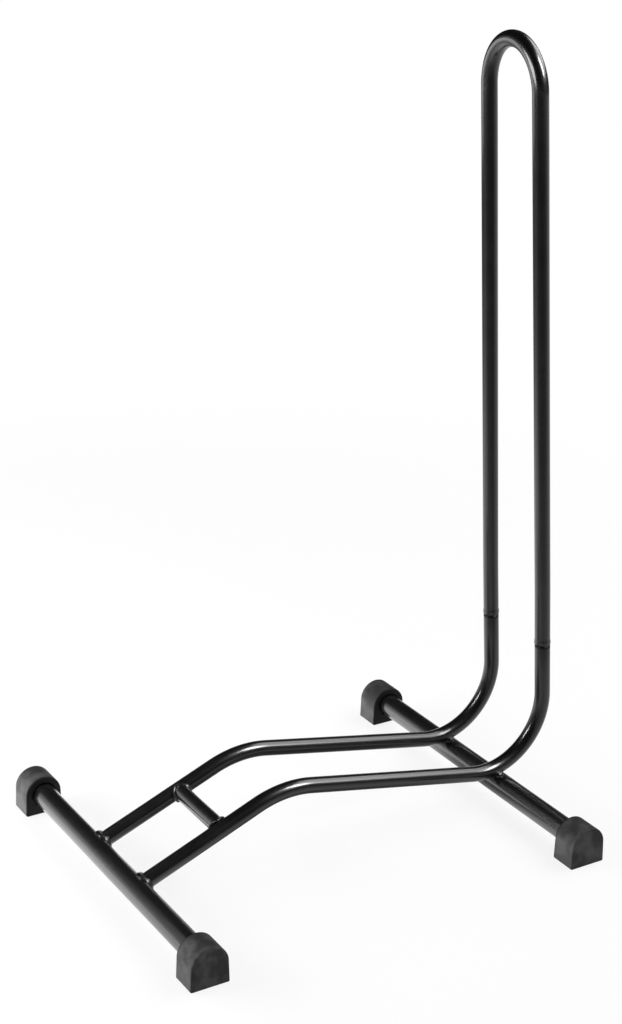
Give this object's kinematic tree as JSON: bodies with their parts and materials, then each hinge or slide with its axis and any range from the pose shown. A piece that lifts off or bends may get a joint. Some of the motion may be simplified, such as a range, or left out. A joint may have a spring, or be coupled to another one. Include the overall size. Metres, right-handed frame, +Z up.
{
  "type": "floor bike stand",
  "caption": "Floor stand that holds a bicycle upright by one wheel, with a ramp, bent tube rails and a tall plug-in hoop.",
  "frame": {"origin": "on the floor, under the middle of the stand's outline", "axes": "+Z up, +Y from the ramp end towards the hoop, +X across the stand along the cross tubes"},
  "size_m": [0.3824, 0.4905, 0.772],
  "materials": {
    "black_painted_steel": "semi-gloss black paint",
    "black_painted_weld": "semi-gloss black paint over weld ripples",
    "dark_rubber": "matte dark grey rubber"
  },
  "bodies": {
    "base": {"rail_left": "black_painted_steel", "rail_right": "black_painted_steel", "rail_brace": "black_painted_steel", "front_cross_tube": "black_painted_steel", "rear_cross_tube": "black_painted_steel", "foot_front_left": "dark_rubber", "foot_front_right": "dark_rubber", "foot_rear_left": "dark_rubber", "foot_rear_right": "dark_rubber", "weld_front_left": "black_painted_weld", "weld_front_right": "black_painted_weld", "weld_brace_left": "black_painted_weld", "weld_brace_right": "black_painted_weld", "weld_rear_left_inner": "black_painted_weld", "weld_rear_left_outer": "black_painted_weld", "weld_rear_right_inner": "black_painted_weld", "weld_rear_right_outer": "black_painted_weld"},
    "hoop": {"hoop": "black_painted_steel"}
  },
  "joints": [
    {"name": "hoop_slide", "type": "slide", "parent": "base", "child": "hoop", "axis": [0, -0.0645, 0.9979], "range_m": [0, 0.04]}
  ]
}
